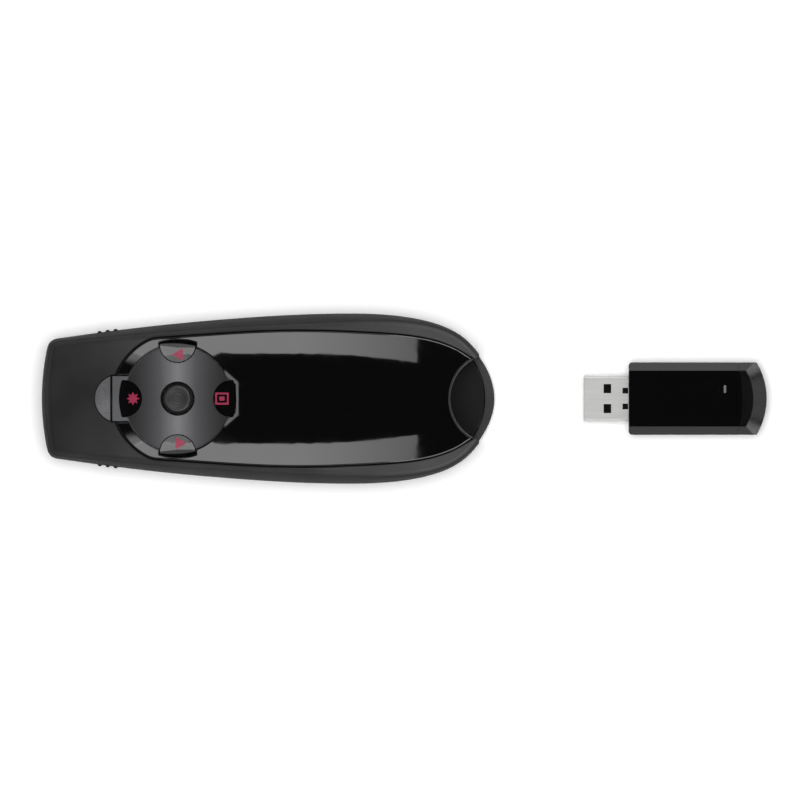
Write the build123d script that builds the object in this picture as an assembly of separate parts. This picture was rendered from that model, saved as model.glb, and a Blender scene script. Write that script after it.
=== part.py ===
from build123d import *
from math import asin, atan2, cos, degrees, radians, sin, sqrt
import os

# Wireless presentation clicker with its USB receiver, in millimetres.
# +X runs from the nose to the tail, +Y to the side, +Z up. The origin is the centre of the
# clicker's underside, and z = 0 is the table on which clicker and receiver lie.

# Body
body_length = 120.0
body_width = 45.0
body_height = 25.0
parting_z = 9.0
case_wall = 2.0
floor_wall = 1.8
nose_corner = 3.0
shoulder_fillet = 2.6
crown_share = 0.58
nose_x = -body_length / 2
tail_x = body_length / 2

# Plan outline: place along the body and half width, each as a share of the whole,
# and how much of the flank's tuck holds there
side_stations = (
    (0.016, 0.693, 1.0),
    (0.167, 0.804, 1.0),
    (0.417, 0.938, 1.0),
    (0.667, 1.0, 1.0),
    (0.833, 0.931, 0.9),
    (0.925, 0.736, 0.6),
    (0.978, 0.405, 0.25),
    (1.0, 0.0, 0.0),
)
# Flank: height as a share of the body's, and how far the outline is drawn in there
# at the nose, at the tail and at the sides
flank_levels = (
    (0.0, 6.0, 2.0, 5.2),
    (0.048, 3.6, 0.8, 3.0),
    (0.128, 1.7, 0.1, 1.4),
    (0.24, 0.4, 0.0, 0.4),
    (0.36, 0.0, 0.0, 0.0),
    (0.56, 0.35, 0.3, 0.35),
    (0.72, 1.2, 1.0, 1.2),
    (0.84, 2.4, 2.2, 2.4),
    (0.96, 4.2, 4.0, 4.2),
    (1.08, 6.8, 6.6, 6.8),
)
# Crown line: place along the body, drop below its highest point, and radius across
crown_stations = (
    (-0.017, 7.0, 60.0),
    (0.125, 3.1, 60.0),
    (0.3, 1.2, 60.0),
    (0.433, 0.4, 60.0),
    (0.567, 0.0, 60.0),
    (0.708, 0.8, 57.0),
    (0.833, 3.1, 50.0),
    (0.917, 5.8, 46.0),
    (1.017, 10.4, 44.0),
)

# Glossy top cover
cover_wall = 1.6
cover_gap = 0.3
cover_rim = 0.7
opening_rim_radius = 0.3
cover_reach = 17.2
cover_front_from_pad = 17.45
cover_ledge = 1.6
ledge_height = 1.5
bite_radius = 11.7
bite_from_tail = 0.4
bite_wall = 2.0
bands_from_tail = 4.4
cover_corner = 10.3
cover_nose_corner = 7.0
cover_start_half = 15.9
cover_sides = ((0.36, 16.85), (0.48, 17.7), (0.61, 17.9), (0.7, 17.5), (0.79, 16.8), (0.865, 15.3),
               (0.92, 12.7))

# Round pad with its keys
pad_x = nose_x + 36.3
pad_recess = 0.6
pad_radius = 13.85
pad_seat_z = 20.4
pad_gap = 0.3
pad_bore = 4.5
pad_bore_rim = 0.35
key_radius = 4.65
key_centre = 14.25
key_outer = 15.2
key_crease = 13.4
key_rise = 0.4
key_lip_drop = 0.9
key_gap = 0.25
key_travel = 0.6
key_stem_radius = 1.5
key_stem_at = 12.2
flange_width = 0.6
flange_height = 1.0
east_reach = 16.1
east_half = 5.8
east_corner = (3.2, 1.4)
slot_half = 6.2
skirt_wall = 1.2

# Carrier under the pad
frame_thickness = 1.2
frame_radius = 14.3
frame_half = 14.2
frame_post_radius = 1.5
frame_post_at = 13.2
tongue_recess = 0.9
tongue_gap = 0.3
east_rim = 0.6
east_rim_gap = 0.1

# Window in the nose
window_radius = 6.2
window_centre = 15.5
window_seat_z = 20.7
window_wall_gap = 0.35
window_recess = 0.25
window_groove = 0.3
lamp_hole = 1.1

# Circuit board and switches
board_z = 14.0
board_thickness = 1.2
board_half = 14.8
board_corner = 1.5
chips_from_rear = 3.0
# Place ahead of the rear, place across, length, width and height of each chip
chip_sizes = ((3.0, 5.5, 7.0, 7.0, 1.2), (4.0, -1.6, 5.0, 1.7, 1.0), (0.0, -9.0, 12.0, 8.0, 1.8))
switch_size = 5.0
switch_height = 2.2
plunger_radius = 1.2
plunger_stand = 0.8
plunger_depth = 1.3
running_gap = 0.05

# Joystick
pivot_z = 18.0
ring_outer = 4.0
ring_inner = 3.0
ring_height = 1.4
trunnion_radius = 0.5
pin_radius = 0.4
stick_radius = 1.2
stick_foot = 1.4
hub_radius = 1.6
post_gap = 0.5
post_thickness = 1.2
post_half = 1.6
base_floor = 1.0
nub_radius = 3.4
nub_top = 24.9
nub_head = 2.5
nub_height = 3.5
nub_skirt_radius = 3.0
nub_rim = 0.35
nub_dish = 0.6
nub_rings = (1.0, 1.7, 2.35)
nub_ring_width = 0.25
nub_ring_depth = 0.25
stick_seat = 1.6

# Battery bay
cell_radius = 5.25
cell_length = 44.5
cell_nub_radius = 1.9
cell_nub_length = 0.8
cell_gap = 0.6
cell_clearance = 0.3
bay_wall = 1.2
bay_roof = 1.2
bay_from_nose = 19.0
contact_thickness = 0.4
contact_width = 8.0
contact_height = 7.0
spring_length = 3.6
spring_wire = 0.3
spring_large = 3.2
spring_small = 2.2
spring_turns = 3
end_slack = 0.25

# Battery door
door_recess = 0.25
door_thickness = 1.45
door_half = 11.4
door_gap = 0.15
door_tail = 2.4
barrel_radius = 1.65
hinge_pin_radius = 0.8
hinge_pin_length = 1.5
latch_half = 4.0
latch_height = 2.2
latch_thickness = 1.0
thumb_notch_radius = 4.0
thumb_notch_depth = 0.8

# Power switch in the underside
power_x = 18.0
power_from_side = 7.9
power_travel = 3.0
power_body = (9.0, 4.4, 3.6)
power_knob = (4.2, 4.4)
power_stem = (2.4, 1.8)
power_pocket = (9.0, 5.0, 1.0)
power_clearance = 0.15

# Case screws
screw_places = ((nose_x + 10.0, 8.5), (tail_x - 28.0, 14.3))
boss_radius = 2.8
screw_radius = 1.08
screw_hole = 1.25
screw_pilot = 1.1
screw_head_radius = 2.0
screw_head_height = 1.5
screw_head_hole = 2.2
screw_seat_z = 3.0
screw_length = 10.5

# Laser pointer
laser_z = 12.0
laser_radius = 3.25
laser_length = 12.0
laser_from_nose = 3.0
laser_bore = 2.25
laser_eye = 1.6
window_disc_radius = 2.2
window_disc_thickness = 0.8
window_disc_recess = 0.6
saddle_thickness = 1.6

# Grip ribs on the flanks, near the nose
rib_from_nose = 15.4
rib_pitch = 2.1
rib_count = 3
rib_radius = 0.5
rib_height = 4.5
rib_proud = 0.4

# Receiver
receiver_width = 19.2
receiver_height = 8.6
plug_length = 11.75
plug_width = 12.0
plug_height = 4.5
plug_sheet = 0.3
plug_root = 5.0
shell_length = 29.9
shell_wall = 1.2
shell_corner = 1.0
top_bevel = (2.2, 1.6)
bottom_bevel = (1.4, 1.2)
cap_length = 6.7
cap_end_radius = 18.5
cap_seam_radius = 38.0
cap_spigot = 2.7
cap_bevel = (3.6, 1.9)
scoop_from_tip = 40.3
scoop_length = 2.4
scoop_half = 4.8
scoop_depth = 0.6
scoop_rim = 0.2
part_gap = 0.1
tongue_thickness = 1.95
plug_window = (2.0, 2.4)
plug_window_from_tip = 6.15
plug_window_y = 2.65
plug_notch_from_tip = 10.9
plug_notch_y = 2.1
plug_notch = (1.5, 1.5)
contact_pad = (6.0, 1.0, 0.15)
contact_pitch = 2.3
contacts_from_tip = 1.4
tongue_from_tip = 0.4
seat_gap = 0.02
plug_corner = 0.6
led_slit = (0.6, 2.0)
led_from_tip = 37.2
led_y = 2.5
receiver_board_thickness = 1.0
receiver_gap = 23.5

# Receiver dock
dock_rise = 5.5
dock_gap = 0.3
dock_floor_gap = 0.25
dock_wall = 0.8
dock_floor = 0.8
dock_end_radius = 18.5
dock_end_from_tail = 2.7
dock_rib_thickness = 1.2
dock_rib_y = 7.0
dock_behind_bay = 0.2

receiver_length = plug_length + shell_length + cap_length
receiver_x = tail_x + receiver_gap
dock_travel_x = receiver_gap + receiver_length
docked_shell_x = tail_x - shell_length - cap_length
dock_half = receiver_width / 2 + dock_gap
dock_roof_z = dock_rise + receiver_height + dock_gap
bite_x = tail_x - bite_from_tail
tail_arc_x = tail_x - dock_end_from_tail - dock_end_radius
frame_top = pad_seat_z
cover_middle_x = pad_x + east_reach + 2
board_top = board_z + board_thickness
power_y = power_from_side - body_width / 2
nub_seat = nub_top - nub_height
above = body_height + 10.0
bay_x = nose_x + bay_from_nose
bay_length = 2 * contact_thickness + spring_length + cell_length + 2 * end_slack
bay_end = bay_x + bay_length
dock_front = bay_end + bay_wall + dock_behind_bay
bay_half = 2 * cell_radius + cell_gap / 2 + cell_clearance
cell_y = cell_radius + cell_gap / 2
door_top = door_recess + door_thickness
cell_z = door_top + cell_clearance + cell_radius
hinge_x = bay_x - barrel_radius + 0.15
hinge_z = door_recess + barrel_radius
door_end = bay_end + bay_wall + door_tail


def block(x0, x1, y0, y1, z0, z1):
    """Box between two limits on each axis."""
    centre = Pos((x0 + x1) / 2, (y0 + y1) / 2, (z0 + z1) / 2)
    return centre * Box(x1 - x0, y1 - y0, z1 - z0)


def post(x, y, z0, z1, radius):
    """Upright cylinder between two heights."""
    return Pos(x, y, (z0 + z1) / 2) * Cylinder(radius, z1 - z0)


def rod_x(x0, x1, y, z, radius):
    """Cylinder along X."""
    return Pos((x0 + x1) / 2, y, z) * Rot(0, 90, 0) * Cylinder(radius, x1 - x0)


def rod_y(x, y0, y1, z, radius):
    """Cylinder along Y."""
    return Pos(x, (y0 + y1) / 2, z) * Rot(90, 0, 0) * Cylinder(radius, y1 - y0)


def prism(face, z0, z1):
    """Plan face raised between two heights."""
    return extrude(Pos(0, 0, z0) * face, amount=z1 - z0)


def side_profile(points, y0, y1):
    """Outline in X and Z, run across between two places in Y."""
    face = make_face(Polyline(*[(x, 0, z) for x, z in points], close=True))
    return Pos(0, y1, 0) * extrude(face, amount=y1 - y0, dir=(0, -1, 0))


def both_sides(shape):
    """A shape and its mirror image across the middle of the clicker."""
    return shape + mirror(shape, about=Plane.XZ)


# ---------------------------------------------------------------- body forms


def body_plan(nose_tuck, tail_tuck, side_tuck, z):
    """Plan outline of the body at one height, drawn in from its widest outline."""
    front = nose_x + nose_tuck
    rear = tail_x - tail_tuck
    edge = []
    for along, share, hold in side_stations:
        half = share * (body_width / 2 - side_tuck * hold)
        edge.append((front + along * (rear - front), half))
    other = [(x, -y) for x, y in edge]
    left = Spline(*edge, tangents=[(1, 0.14), (0, -1)])
    right = Spline(*other, tangents=[(1, -0.14), (0, 1)])
    nose = ThreePointArc(edge[0], (front, 0), other[0])
    face = make_face([left, right, nose])
    corners = face.vertices().sort_by(Axis.X)[:2]
    return Pos(0, 0, z) * fillet(corners, nose_corner)


def crown_form(inset):
    """Block whose top is the crowned upper surface, lowered by an inset."""
    half = body_width * crown_share
    sections = []
    for along, drop, radius in crown_stations:
        top = body_height - drop - inset
        edge = top - radius + sqrt(radius**2 - half**2)
        section = Plane((nose_x + along * body_length, 0, 0), x_dir=(0, 1, 0), z_dir=(1, 0, 0))
        arc = ThreePointArc((-half, edge), (0, top), (half, edge))
        rest = Polyline((half, edge), (half, -2), (-half, -2), (-half, edge))
        sections.append(section * make_face([arc, rest]))
    return loft(sections)


def body_form(inset, depth):
    """Solid body form, drawn in by an inset on its flanks and by a depth under its crown."""
    levels = []
    for share, nose_tuck, tail_tuck, side_tuck in flank_levels:
        outline = body_plan(nose_tuck + inset, tail_tuck + inset, side_tuck + inset, share * body_height)
        levels.append(outline)
    return loft(levels) & crown_form(depth)


def outer_form():
    """Outer form of the whole body, with its shoulder rounded."""
    body = body_form(0, 0)
    top = max(body.faces(), key=lambda face: face.center().Z)
    return fillet(top.edges(), shoulder_fillet)


# ---------------------------------------------------------------- plan shapes


def cover_plan(margin):
    """Plan face of the glossy cover, grown by a margin; the tail bite isn't cut yet."""
    half = cover_start_half + margin
    start_x = pad_x - cover_front_from_pad + cover_reach - sqrt(cover_reach**2 - cover_start_half**2)
    front_x = pad_x - cover_front_from_pad - margin
    rear_x = bite_x - sqrt(bite_radius**2 - cover_corner**2) + margin
    edge = [(start_x, half)]
    edge += [(nose_x + along * body_length, y + margin) for along, y in cover_sides]
    edge_left = Spline(*edge)
    rear = [edge[-1], (rear_x, cover_corner + margin), (rear_x, -cover_corner - margin)]
    rear += [(edge[-1][0], -edge[-1][1])]
    edge_rear = Polyline(*rear)
    edge_right = Spline(*[(x, -y) for x, y in edge])
    edge_front = ThreePointArc((start_x, -half), (front_x, 0), (start_x, half))
    face = make_face([edge_left, edge_rear, edge_right, edge_front])
    corners = face.vertices().sort_by(Axis.X)[:2]
    return fillet(corners, cover_nose_corner)


def key_plan(margin, outer_margin):
    """Lens-shaped plan of one key, on +X from the pad's centre."""
    lens = Pos(key_centre, 0) * Circle(key_radius + margin)
    return lens & Circle(key_outer + outer_margin)


def around_pad(shape):
    """Four copies of a shape around the pad's centre, which is at its origin."""
    turned = [Rot(0, 0, 90 * quarter) * shape for quarter in range(4)]
    return turned[0] + turned[1] + turned[2] + turned[3]


def crown_at(x, y):
    """Height of the crowned upper surface at one place."""
    return (crown_form(0) & post(x, y, 0, above, 0.02)).vertices().sort_by(Axis.Z)[-1].Z


def notch_plan(margin):
    """Notch with cut corners on the tail side of the pad."""
    end = east_reach + margin
    half = east_half + margin
    corner_x, corner_y = east_corner
    points = ((0, half + 2 * corner_y), (end - corner_x, half + corner_y), (end, half - corner_y),
              (end, corner_y - half), (end - corner_x, -half - corner_y), (0, -half - 2 * corner_y))
    return make_face(Polyline(*points, close=True))


def pocket_plan(margin):
    """Plan of the cover's opening: round pad, four keys, tail notch and nose slot."""
    slot_end = cover_front_from_pad + margin
    slot = Pos(-slot_end / 2, 0) * Rectangle(slot_end, 2 * (slot_half + margin))
    keys = around_pad(key_plan(key_gap + margin, key_gap + margin))
    round_hole = Circle(pad_radius + pad_gap + margin)
    return Pos(pad_x, 0) * (round_hole + keys + notch_plan(margin) + slot)


def window_plan(margin):
    """Crescent in the nose, just before the cover's front edge."""
    front_edge = cover_front_from_pad + window_groove - margin
    keep = Pos(-front_edge - 10, 0) * Rectangle(20, 40)
    return Pos(pad_x, 0) * (keep & (Pos(-window_centre, 0) * Circle(window_radius + margin)))


# ---------------------------------------------------------------- receiver dock


def dock_line(x):
    """Height of the dock's sloping floor: it clears the receiver as it slides in."""
    slid = max(0, x - docked_shell_x) / dock_travel_x
    return dock_rise * (1 - slid) - dock_floor_gap


def dock_reach(margin):
    """Room before the arc on which the dock's floor ends."""
    arc = post(tail_arc_x, 0, -1, above, dock_end_radius + margin)
    return arc + block(nose_x, tail_arc_x + 6, -body_width, body_width, -1, above)


def dock_outline(margin):
    """Outside of the dock sleeve, grown by a margin."""
    front = dock_front - margin
    flat = docked_shell_x
    low = dock_floor + margin
    top = dock_roof_z + dock_wall + margin
    half = dock_half + dock_wall + margin
    points = ((front, top), (front, dock_line(flat) - low), (flat, dock_line(flat) - low),
              (tail_x + 1, dock_line(tail_x + 1) - low), (tail_x + 1, top))
    return side_profile(points, -half, half)


def dock_cavity():
    """Space for the docked receiver, open at the tail."""
    front = dock_front + dock_wall
    flat = docked_shell_x
    points = ((front, dock_roof_z), (front, dock_line(flat)), (flat, dock_line(flat)),
              (tail_x + 5, dock_line(tail_x + 5)), (tail_x + 5, dock_roof_z))
    return side_profile(points, -dock_half, dock_half)


def bite(extra, z0):
    """Thumb cut-out over the dock, widened by a wall."""
    return post(bite_x, 0, z0, above, bite_radius + extra)


def behind_bands(z0):
    """Room behind the blunt ends of the two side bands, above a height."""
    return block(tail_x - bands_from_tail, tail_x + 1, -body_width, body_width, z0, above)


def receiver_dock():
    """Sleeve that holds the receiver: sloping floor, side walls and roof."""
    sleeve = dock_outline(0) & dock_reach(0)
    sleeve -= dock_cavity() + bite(0, parting_z)
    rear = [edge for edge in sleeve.edges() if (edge @ 0.5).X > tail_arc_x + dock_end_radius - 0.1]
    return chamfer(max(rear, key=lambda edge: (edge @ 0.5).Z), dock_floor / 2)


# ---------------------------------------------------------------- housings


def screw_spots():
    """Centres of the case screws."""
    return [(x, side * y) for x, y in screw_places for side in (1, -1)]


def laser_saddle(x, form):
    """Rib across the nose with a half-round seat for the laser module."""
    rib = block(x, x + saddle_thickness, -laser_radius - 2, laser_radius + 2, floor_wall / 2, laser_z)
    return (rib & form) - rod_x(x - 1, x + 3, 0, laser_z, laser_radius + running_gap)


def lower_housing(outer):
    """Bottom shell with battery bay, hinge block, dock ribs and screw bosses."""
    inner = body_form(case_wall, case_wall) & block(nose_x, tail_x, -50, 50, floor_wall, above)
    inner &= dock_reach(part_gap)
    shell = (outer & block(-100, 100, -50, 50, -1, parting_z)) - inner
    bay = block(bay_x - bay_wall, bay_end + bay_wall, -bay_half - bay_wall, bay_half + bay_wall,
                floor_wall / 2, board_z)
    ear_y = door_half + hinge_pin_length + 0.6
    hinge_block = block(hinge_x - barrel_radius - 1.6, bay_x, -ear_y, ear_y, floor_wall / 2,
                        hinge_z + barrel_radius + 1.2)
    shell += bay + (hinge_block & outer)
    for y in (-dock_rib_y, dock_rib_y):
        ends = (bay_end + bay_wall + 4, docked_shell_x, tail_x - 6)
        top = [(x, dock_line(x) - dock_floor) for x in ends]
        foot = [(ends[2], floor_wall / 2), (ends[0], floor_wall / 2)]
        shell += side_profile(top + foot, y - dock_rib_thickness / 2, y + dock_rib_thickness / 2)
    for x in (nose_x + laser_from_nose + 1.5, nose_x + laser_from_nose + laser_length - 3):
        shell += laser_saddle(x, outer)
    for x, y in screw_spots():
        shell += post(x, y, floor_wall / 2, parting_z, boss_radius) & outer
    shell -= block(bay_x, bay_end, -bay_half, bay_half, 0, board_z - bay_roof)
    opening = door_half + door_gap
    shell -= block(hinge_x, door_end + door_gap, -opening, opening, -1, floor_wall)
    shell -= rod_y(hinge_x, -opening, opening, hinge_z, barrel_radius + door_gap)
    shell -= block(hinge_x - barrel_radius - door_gap, hinge_x, -opening, opening, -1, hinge_z)
    bore = door_half + hinge_pin_length + 0.1
    shell -= rod_y(hinge_x, -bore, bore, hinge_z, hinge_pin_radius + running_gap)
    notch_sphere = thumb_notch_radius**2 / (2 * thumb_notch_depth) + thumb_notch_depth / 2
    shell -= Pos(door_end, 0, thumb_notch_depth - notch_sphere) * Sphere(notch_sphere)
    for x, y in screw_spots():
        shell -= post(x, y, -1, screw_seat_z, screw_head_hole)
        shell -= post(x, y, 0, above, screw_hole)
    pocket_x, pocket_y, pocket_z = power_pocket
    shell -= Pos(power_x, power_y, 0) * Box(pocket_x, pocket_y, 2 * pocket_z)
    slot_x = power_stem[0] + power_travel + 2 * power_clearance
    slot_y = power_stem[1] + 2 * power_clearance
    shell -= Pos(power_x, power_y, 0) * Box(slot_x, slot_y, 3 * floor_wall)
    half = dock_half + dock_wall + part_gap
    start = tail_arc_x + dock_end_radius * 0.65
    mouth = side_profile(((start, dock_line(start)), (tail_x + 5, dock_line(tail_x + 5)),
                          (tail_x + 5, above), (start, above)), -half, half)
    shell -= mouth
    shell -= behind_bands(dock_line(tail_x))
    return shell - (dock_outline(part_gap) & dock_reach(part_gap))


def upper_voids():
    """Space inside the upper housing: cavity, cover opening and the ledge between."""
    under_ledge = body_form(case_wall, cover_wall + part_gap + ledge_height)
    beside_ledge = body_form(case_wall, case_wall) - prism(cover_plan(cover_ledge), 0, above)
    opening = prism(cover_plan(-cover_ledge), parting_z, above)
    return (under_ledge + beside_ledge + opening) - bite(bite_wall, 0)


def upper_bosses(outer):
    """Screw bosses under the upper housing, each webbed to the flank."""
    bosses = []
    for x, y in screw_spots():
        side = 1 if y > 0 else -1
        boss = post(x, y, parting_z, above, boss_radius)
        web_top = screw_seat_z + screw_length + 1
        web = block(x - 0.6, x + 0.6, min(y, y + side * 12), max(y, y + side * 12), parting_z, web_top)
        bosses.append(boss + web)
    return (bosses[0] + bosses[1] + bosses[2] + bosses[3]) & body_form(case_wall / 2, case_wall / 2)


def upper_housing(outer):
    """Matte nose and side bands, with the seat for the glossy cover."""
    shell = (outer & block(-100, 100, -50, 50, parting_z, above)) - upper_voids()
    shell += upper_bosses(outer)
    shell += both_sides(grip_ribs())
    cover_seat = prism(cover_plan(cover_gap), parting_z, above) - body_form(0.2, cover_wall + part_gap)
    shell -= cover_seat
    shell -= bite(0, 0)
    shell -= behind_bands(parting_z)
    shell -= dock_outline(part_gap)
    shell -= prism(Pos(pad_x, 0) * frame_plan(0.3), board_z, above)
    shell -= prism(pocket_plan(part_gap), frame_top - frame_thickness - key_travel - 0.2, above)
    shell -= prism(window_plan(window_wall_gap), window_seat_z, above)
    groove_end = pad_x - cover_front_from_pad
    shell -= block(groove_end - window_groove - 0.3, groove_end + 0.3, -5.0, 5.0, window_seat_z, above)
    shell -= post(lamp_place(), 0, parting_z + 2, above, lamp_hole)
    for x, y in screw_spots():
        shell -= post(x, y, 0, screw_seat_z + screw_length + 0.5, screw_pilot)
    eye_x = nose_x + window_disc_recess + window_disc_thickness
    shell -= rod_x(nose_x - 2, eye_x, 0, laser_z, laser_bore)
    shell -= rod_x(nose_x - 2, nose_x + 6, 0, laser_z, laser_eye)
    return shell


def flank_half(x):
    """Half width of the widest outline at a place along the body."""
    outline = body_plan(0, 0, 0, 0)
    cut = outline & (Pos(x, 0) * Rectangle(0.02, 2 * body_width))
    return cut.bounding_box().max.Y


def grip_ribs():
    """Three small upright ribs on one flank, close to the nose."""
    ribs = []
    for index in range(rib_count):
        x = nose_x + rib_from_nose + index * rib_pitch
        y = flank_half(x) + rib_proud - rib_radius
        ribs.append(post(x, y, parting_z, parting_z + rib_height, rib_radius))
    return ribs[0] + ribs[1] + ribs[2]


def upper_face(shape):
    """Large crowned face on top of a shape."""
    return max(shape.faces(), key=lambda face: face.area * max(face.normal_at(face.center()).Z, 0))


def opening_rim(shape):
    """Edges where the crowned top of the cover meets the upright walls of its opening."""
    top = upper_face(shape)
    walls = [face for face in shape.faces() if abs(face.normal_at(face.center()).Z) < 0.01]
    walls = [face for face in walls if face.center().X < cover_middle_x]
    return [edge for edge in top.edges() if min(wall.distance_to(edge @ 0.5) for wall in walls) < 0.001]


def top_cover(outer):
    """Glossy shell over the pad's opening, with a skirt down to the carrier."""
    blank = (outer & prism(cover_plan(0), parting_z, above)) - bite(0, 0)
    blank = fillet(upper_face(blank).edges(), cover_rim)
    blank -= prism(pocket_plan(0), board_z, above)
    blank = fillet(opening_rim(blank), opening_rim_radius)
    shell = blank - body_form(0.2, cover_wall) - dock_outline(part_gap)
    skirt_plan = pocket_plan(skirt_wall) & cover_plan(-cover_ledge - 0.2)
    skirt_plan -= pocket_plan(0)
    skirt = prism(skirt_plan, frame_top, above) & body_form(1, cover_wall / 2)
    return shell + (skirt - bite(0, 0))


# ---------------------------------------------------------------- pad and keys


def keypad_plate():
    """Round satin pad, crowned like the body, with a centre bore and four notches."""
    plan = Circle(pad_radius) - Circle(pad_bore) - around_pad(key_plan(key_gap, 2))
    plate = prism(Pos(pad_x, 0) * plan, frame_top, above) & crown_form(pad_recess)
    ahead = crown_at(pad_x - pad_bore, 0)
    behind = crown_at(pad_x + pad_bore, 0)
    tilt = degrees(atan2(ahead - behind, 2 * pad_bore))
    middle = Pos(pad_x, 0, (ahead + behind) / 2 - pad_recess) * Rot(0, tilt, 0)
    rim = Cone(pad_bore - pad_bore_rim, pad_bore + pad_bore_rim, 2 * pad_bore_rim)
    return plate - middle * rim


def flange_plan(margin):
    """Retaining flange of a key, hidden under the pad."""
    wide = Pos(key_centre, 0) * Circle(key_radius + flange_width + margin)
    return wide & Circle(key_crease - 0.3 + margin)


def lamp_place():
    """Middle of the crescent window along X."""
    return pad_x - window_centre - window_radius / 2 - 0.8


def frame_plan(margin):
    """Outline of the carrier plate, with its apron under the tail notch."""
    half = frame_half + margin
    reach = east_reach + skirt_wall + margin
    apron = Pos(reach / 2, 0) * Rectangle(reach, 2 * (east_half + skirt_wall + 1 + margin))
    return (Circle(frame_radius + margin) & Rectangle(60, 2 * half)) + apron


def east_rim_plan():
    """Rim of the carrier that stands up along the tail notch, round the key there."""
    outside = notch_plan(-east_rim_gap)
    inside = notch_plan(-east_rim_gap - east_rim)
    round_hole = Circle(pad_radius + pad_gap)
    return outside - inside - round_hole - key_plan(key_gap, key_gap)


def keypad_frame():
    """Carrier plate under the pad, with board posts, nose tongue and tail rim."""
    plate_plan = frame_plan(0) - Circle(ring_outer + 1.2)
    holes = flange_plan(0.3) + key_plan(0.25, 0.25)
    plate_plan -= around_pad(holes)
    frame = prism(plate_plan, frame_top - frame_thickness, frame_top)
    foot = post(frame_post_at, 0, board_top, frame_top - frame_thickness / 2, frame_post_radius)
    for quarter in range(4):
        frame += Rot(0, 0, 45 + 90 * quarter) * foot
    reach = cover_front_from_pad - tongue_gap
    tongue = Pos(-reach / 2, 0) * Rectangle(reach, 2 * (slot_half - tongue_gap))
    tongue -= Circle(pad_radius + tongue_gap)
    tongue -= Rot(0, 0, 180) * key_plan(0.25, 0.25)
    low = frame_top - frame_thickness
    raised = prism(Pos(pad_x, 0) * (tongue + east_rim_plan()), low, above)
    return Pos(pad_x, 0, 0) * frame + (raised & crown_form(tongue_recess))


def key_top(angle, reach):
    """Height of a key's crowned top at a distance from the pad's centre."""
    x = pad_x + reach * cos(radians(angle))
    return crown_at(x, reach * sin(radians(angle))) - pad_recess + key_rise


def key_at(angle):
    """One glossy key: lens cap with a lip that falls away outwards, flange and stem."""
    place = Pos(pad_x, 0, 0) * Rot(0, 0, angle)
    flange_top = frame_top - running_gap
    low = flange_top - flange_height
    cap = (place * prism(key_plan(0, 0), low, above)) & crown_form(pad_recess - key_rise)
    crease_z = key_top(angle, key_crease)
    fall = crease_z - key_top(angle, key_outer) + key_lip_drop
    end = key_outer + (key_outer - key_crease)
    slope = side_profile(((key_crease, above), (key_crease, crease_z), (end, crease_z - 2 * fall),
                          (end, above)), -2 * key_radius, 2 * key_radius)
    key = cap - place * slope
    key += place * prism(flange_plan(0), low, flange_top)
    stem = post(key_stem_at, 0, board_top + switch_height + plunger_stand, flange_top, key_stem_radius)
    return key + place * stem


def switch_at(angle):
    """Tactile switch under a key, bored for its plunger."""
    half = switch_size / 2
    body = block(key_stem_at - half, key_stem_at + half, -half, half, board_top, board_top + switch_height)
    body -= post(key_stem_at, 0, board_top + 0.1, above, plunger_radius + running_gap)
    return Pos(pad_x, 0, 0) * Rot(0, 0, angle) * body


def plunger_at(angle):
    """Plunger of a tactile switch, which the key's stem presses down."""
    top = board_top + switch_height + plunger_stand
    plunger = post(key_stem_at, 0, top - plunger_stand - plunger_depth, top, plunger_radius)
    return Pos(pad_x, 0, 0) * Rot(0, 0, angle) * plunger


# ---------------------------------------------------------------- joystick


def joystick_base():
    """Seat on the board, with two posts that hold the gimbal ring's trunnions."""
    reach = ring_outer + post_gap + post_thickness
    floor = block(-reach, reach, -4.8, 4.8, board_top, board_top + base_floor)
    post_top = frame_top - frame_thickness - 0.1
    near = reach - post_thickness
    right = block(near, reach, -post_half, post_half, board_top, post_top)
    base = floor + right + mirror(right, about=Plane.YZ)
    base -= rod_x(-reach - 1, reach + 1, 0, pivot_z, trunnion_radius + running_gap)
    return Pos(pad_x, 0, 0) * base


def gimbal_ring():
    """Ring that tilts in the base on two trunnions and carries the stick's pin."""
    low = pivot_z - ring_height / 2
    ring = post(0, 0, low, low + ring_height, ring_outer)
    ring += rod_x(-ring_outer - 1.5, ring_outer + 1.5, 0, pivot_z, trunnion_radius)
    ring -= post(0, 0, low - 1, low + ring_height + 1, ring_inner)
    ring -= rod_y(0, -ring_outer - 1, ring_outer + 1, pivot_z, pin_radius + running_gap)
    return Pos(pad_x, 0, 0) * ring


def joystick_stem():
    """Stick with its hub and the cross pin that lies in the gimbal ring."""
    stem = post(0, 0, pivot_z - stick_foot, nub_seat + stick_seat, stick_radius)
    stem += Pos(0, 0, pivot_z) * Sphere(hub_radius)
    stem += rod_y(0, -ring_outer + 0.1, ring_outer - 0.1, pivot_z, pin_radius)
    return Pos(pad_x, 0, 0) * stem


def joystick_cap():
    """Nub: dished top with fine rings for the fingertip, on a narrower skirt."""
    shoulder = nub_top - nub_head
    skirt = post(0, 0, nub_seat, shoulder, nub_skirt_radius)
    head = post(0, 0, shoulder, nub_top, nub_radius)
    nub = skirt + fillet(head.edges().group_by(Axis.Z)[-1], nub_rim)
    reach = nub_radius - 2 * nub_rim
    dish_radius = (reach**2 + nub_dish**2) / (2 * nub_dish)
    nub -= Pos(0, 0, nub_top - nub_dish + dish_radius) * Sphere(dish_radius)
    nub -= post(0, 0, nub_seat - 1, nub_seat + stick_seat, stick_radius + 0.01)
    for radius in nub_rings:
        floor = nub_top - nub_dish * (1 - (radius / reach) ** 2) - nub_ring_depth
        ring = post(0, 0, floor, above, radius + nub_ring_width / 2)
        nub -= ring - post(0, 0, floor - 1, above, radius - nub_ring_width / 2)
    return Pos(pad_x, 0, 0) * nub


# ---------------------------------------------------------------- nose


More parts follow.
